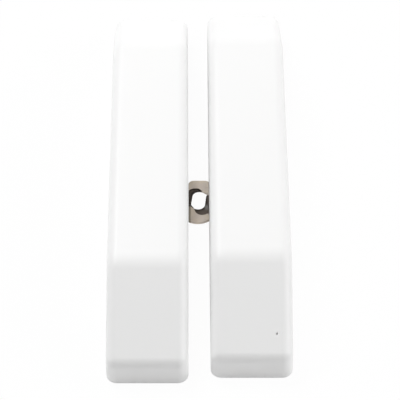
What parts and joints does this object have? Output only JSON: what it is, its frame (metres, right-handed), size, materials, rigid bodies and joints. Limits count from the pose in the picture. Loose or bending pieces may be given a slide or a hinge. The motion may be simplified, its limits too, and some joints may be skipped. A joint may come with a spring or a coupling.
{
  "type": "magnetic door contact",
  "caption": "Long bevelled sensor housing and matching magnet housing, with a slotted metal fixing lug between them, for sensing whether a door is open.",
  "frame": {"origin": "on the mounting plane, at the middle of the pair's outline", "axes": "+X from the magnet unit to the sensor unit, +Y along both housings away from the indicator end, +Z out of the mounting plane"},
  "size_m": [0.0454, 0.1266, 0.019],
  "materials": {
    "cover_plastic": "fine satin, bright white",
    "base_plastic": "plain satin, off-white",
    "circuit_board": "green solder mask over glass laminate",
    "zinc_steel": "bright zinc plate",
    "lug_steel": "nickel-plated pressing",
    "spring_steel": "drawn spring wire",
    "contact_steel": "nickel-plated strip",
    "reed_glass": "clear green-tinted glass",
    "shield_can": "tinned sheet",
    "chip_resin": "black moulded resin",
    "led_resin": "pale resin",
    "clear_plastic": "clear polished plastic",
    "aerial_wire": "bare copper wire",
    "switch_plastic": "black nylon",
    "plunger_plastic": "white acetal",
    "cell_jacket": "printed-free dark jacket over steel",
    "wire_jacket": "red insulation",
    "magnet_ferrite": "dark sintered ferrite"
  },
  "bodies": {
    "contact_set": {"sensor_cover": "cover_plastic", "magnet_cover": "cover_plastic", "sensor_base": "base_plastic", "magnet_base": "base_plastic", "magnet_carrier": "base_plastic", "circuit_board": "circuit_board", "board_screws": "zinc_steel", "sensor_cover_screw": "zinc_steel", "magnet_cover_screw": "zinc_steel", "carrier_screws": "zinc_steel", "lug_screw": "zinc_steel", "reed_switch": "reed_glass", "radio_module": "shield_can", "microcontroller": "chip_resin", "status_led": "led_resin", "light_pipe": "clear_plastic", "antenna": "aerial_wire", "tamper_switch": "switch_plastic", "tamper_spring": "spring_steel", "battery": "cell_jacket", "battery_spring_contact": "contact_steel", "battery_plate_contact": "contact_steel", "battery_wire": "wire_jacket", "fixing_lug": "lug_steel", "bar_magnet": "magnet_ferrite"},
    "plunger": {"tamper_plunger": "plunger_plastic"}
  },
  "joints": [
    {"name": "tamper_press", "type": "slide", "parent": "contact_set", "child": "plunger", "axis": [0, 0, 1], "range_m": [-0.0015, 0], "stiffness_N_per_m": 40, "springref_m": -0.003, "deforming": ["tamper_spring"]}
  ]
}
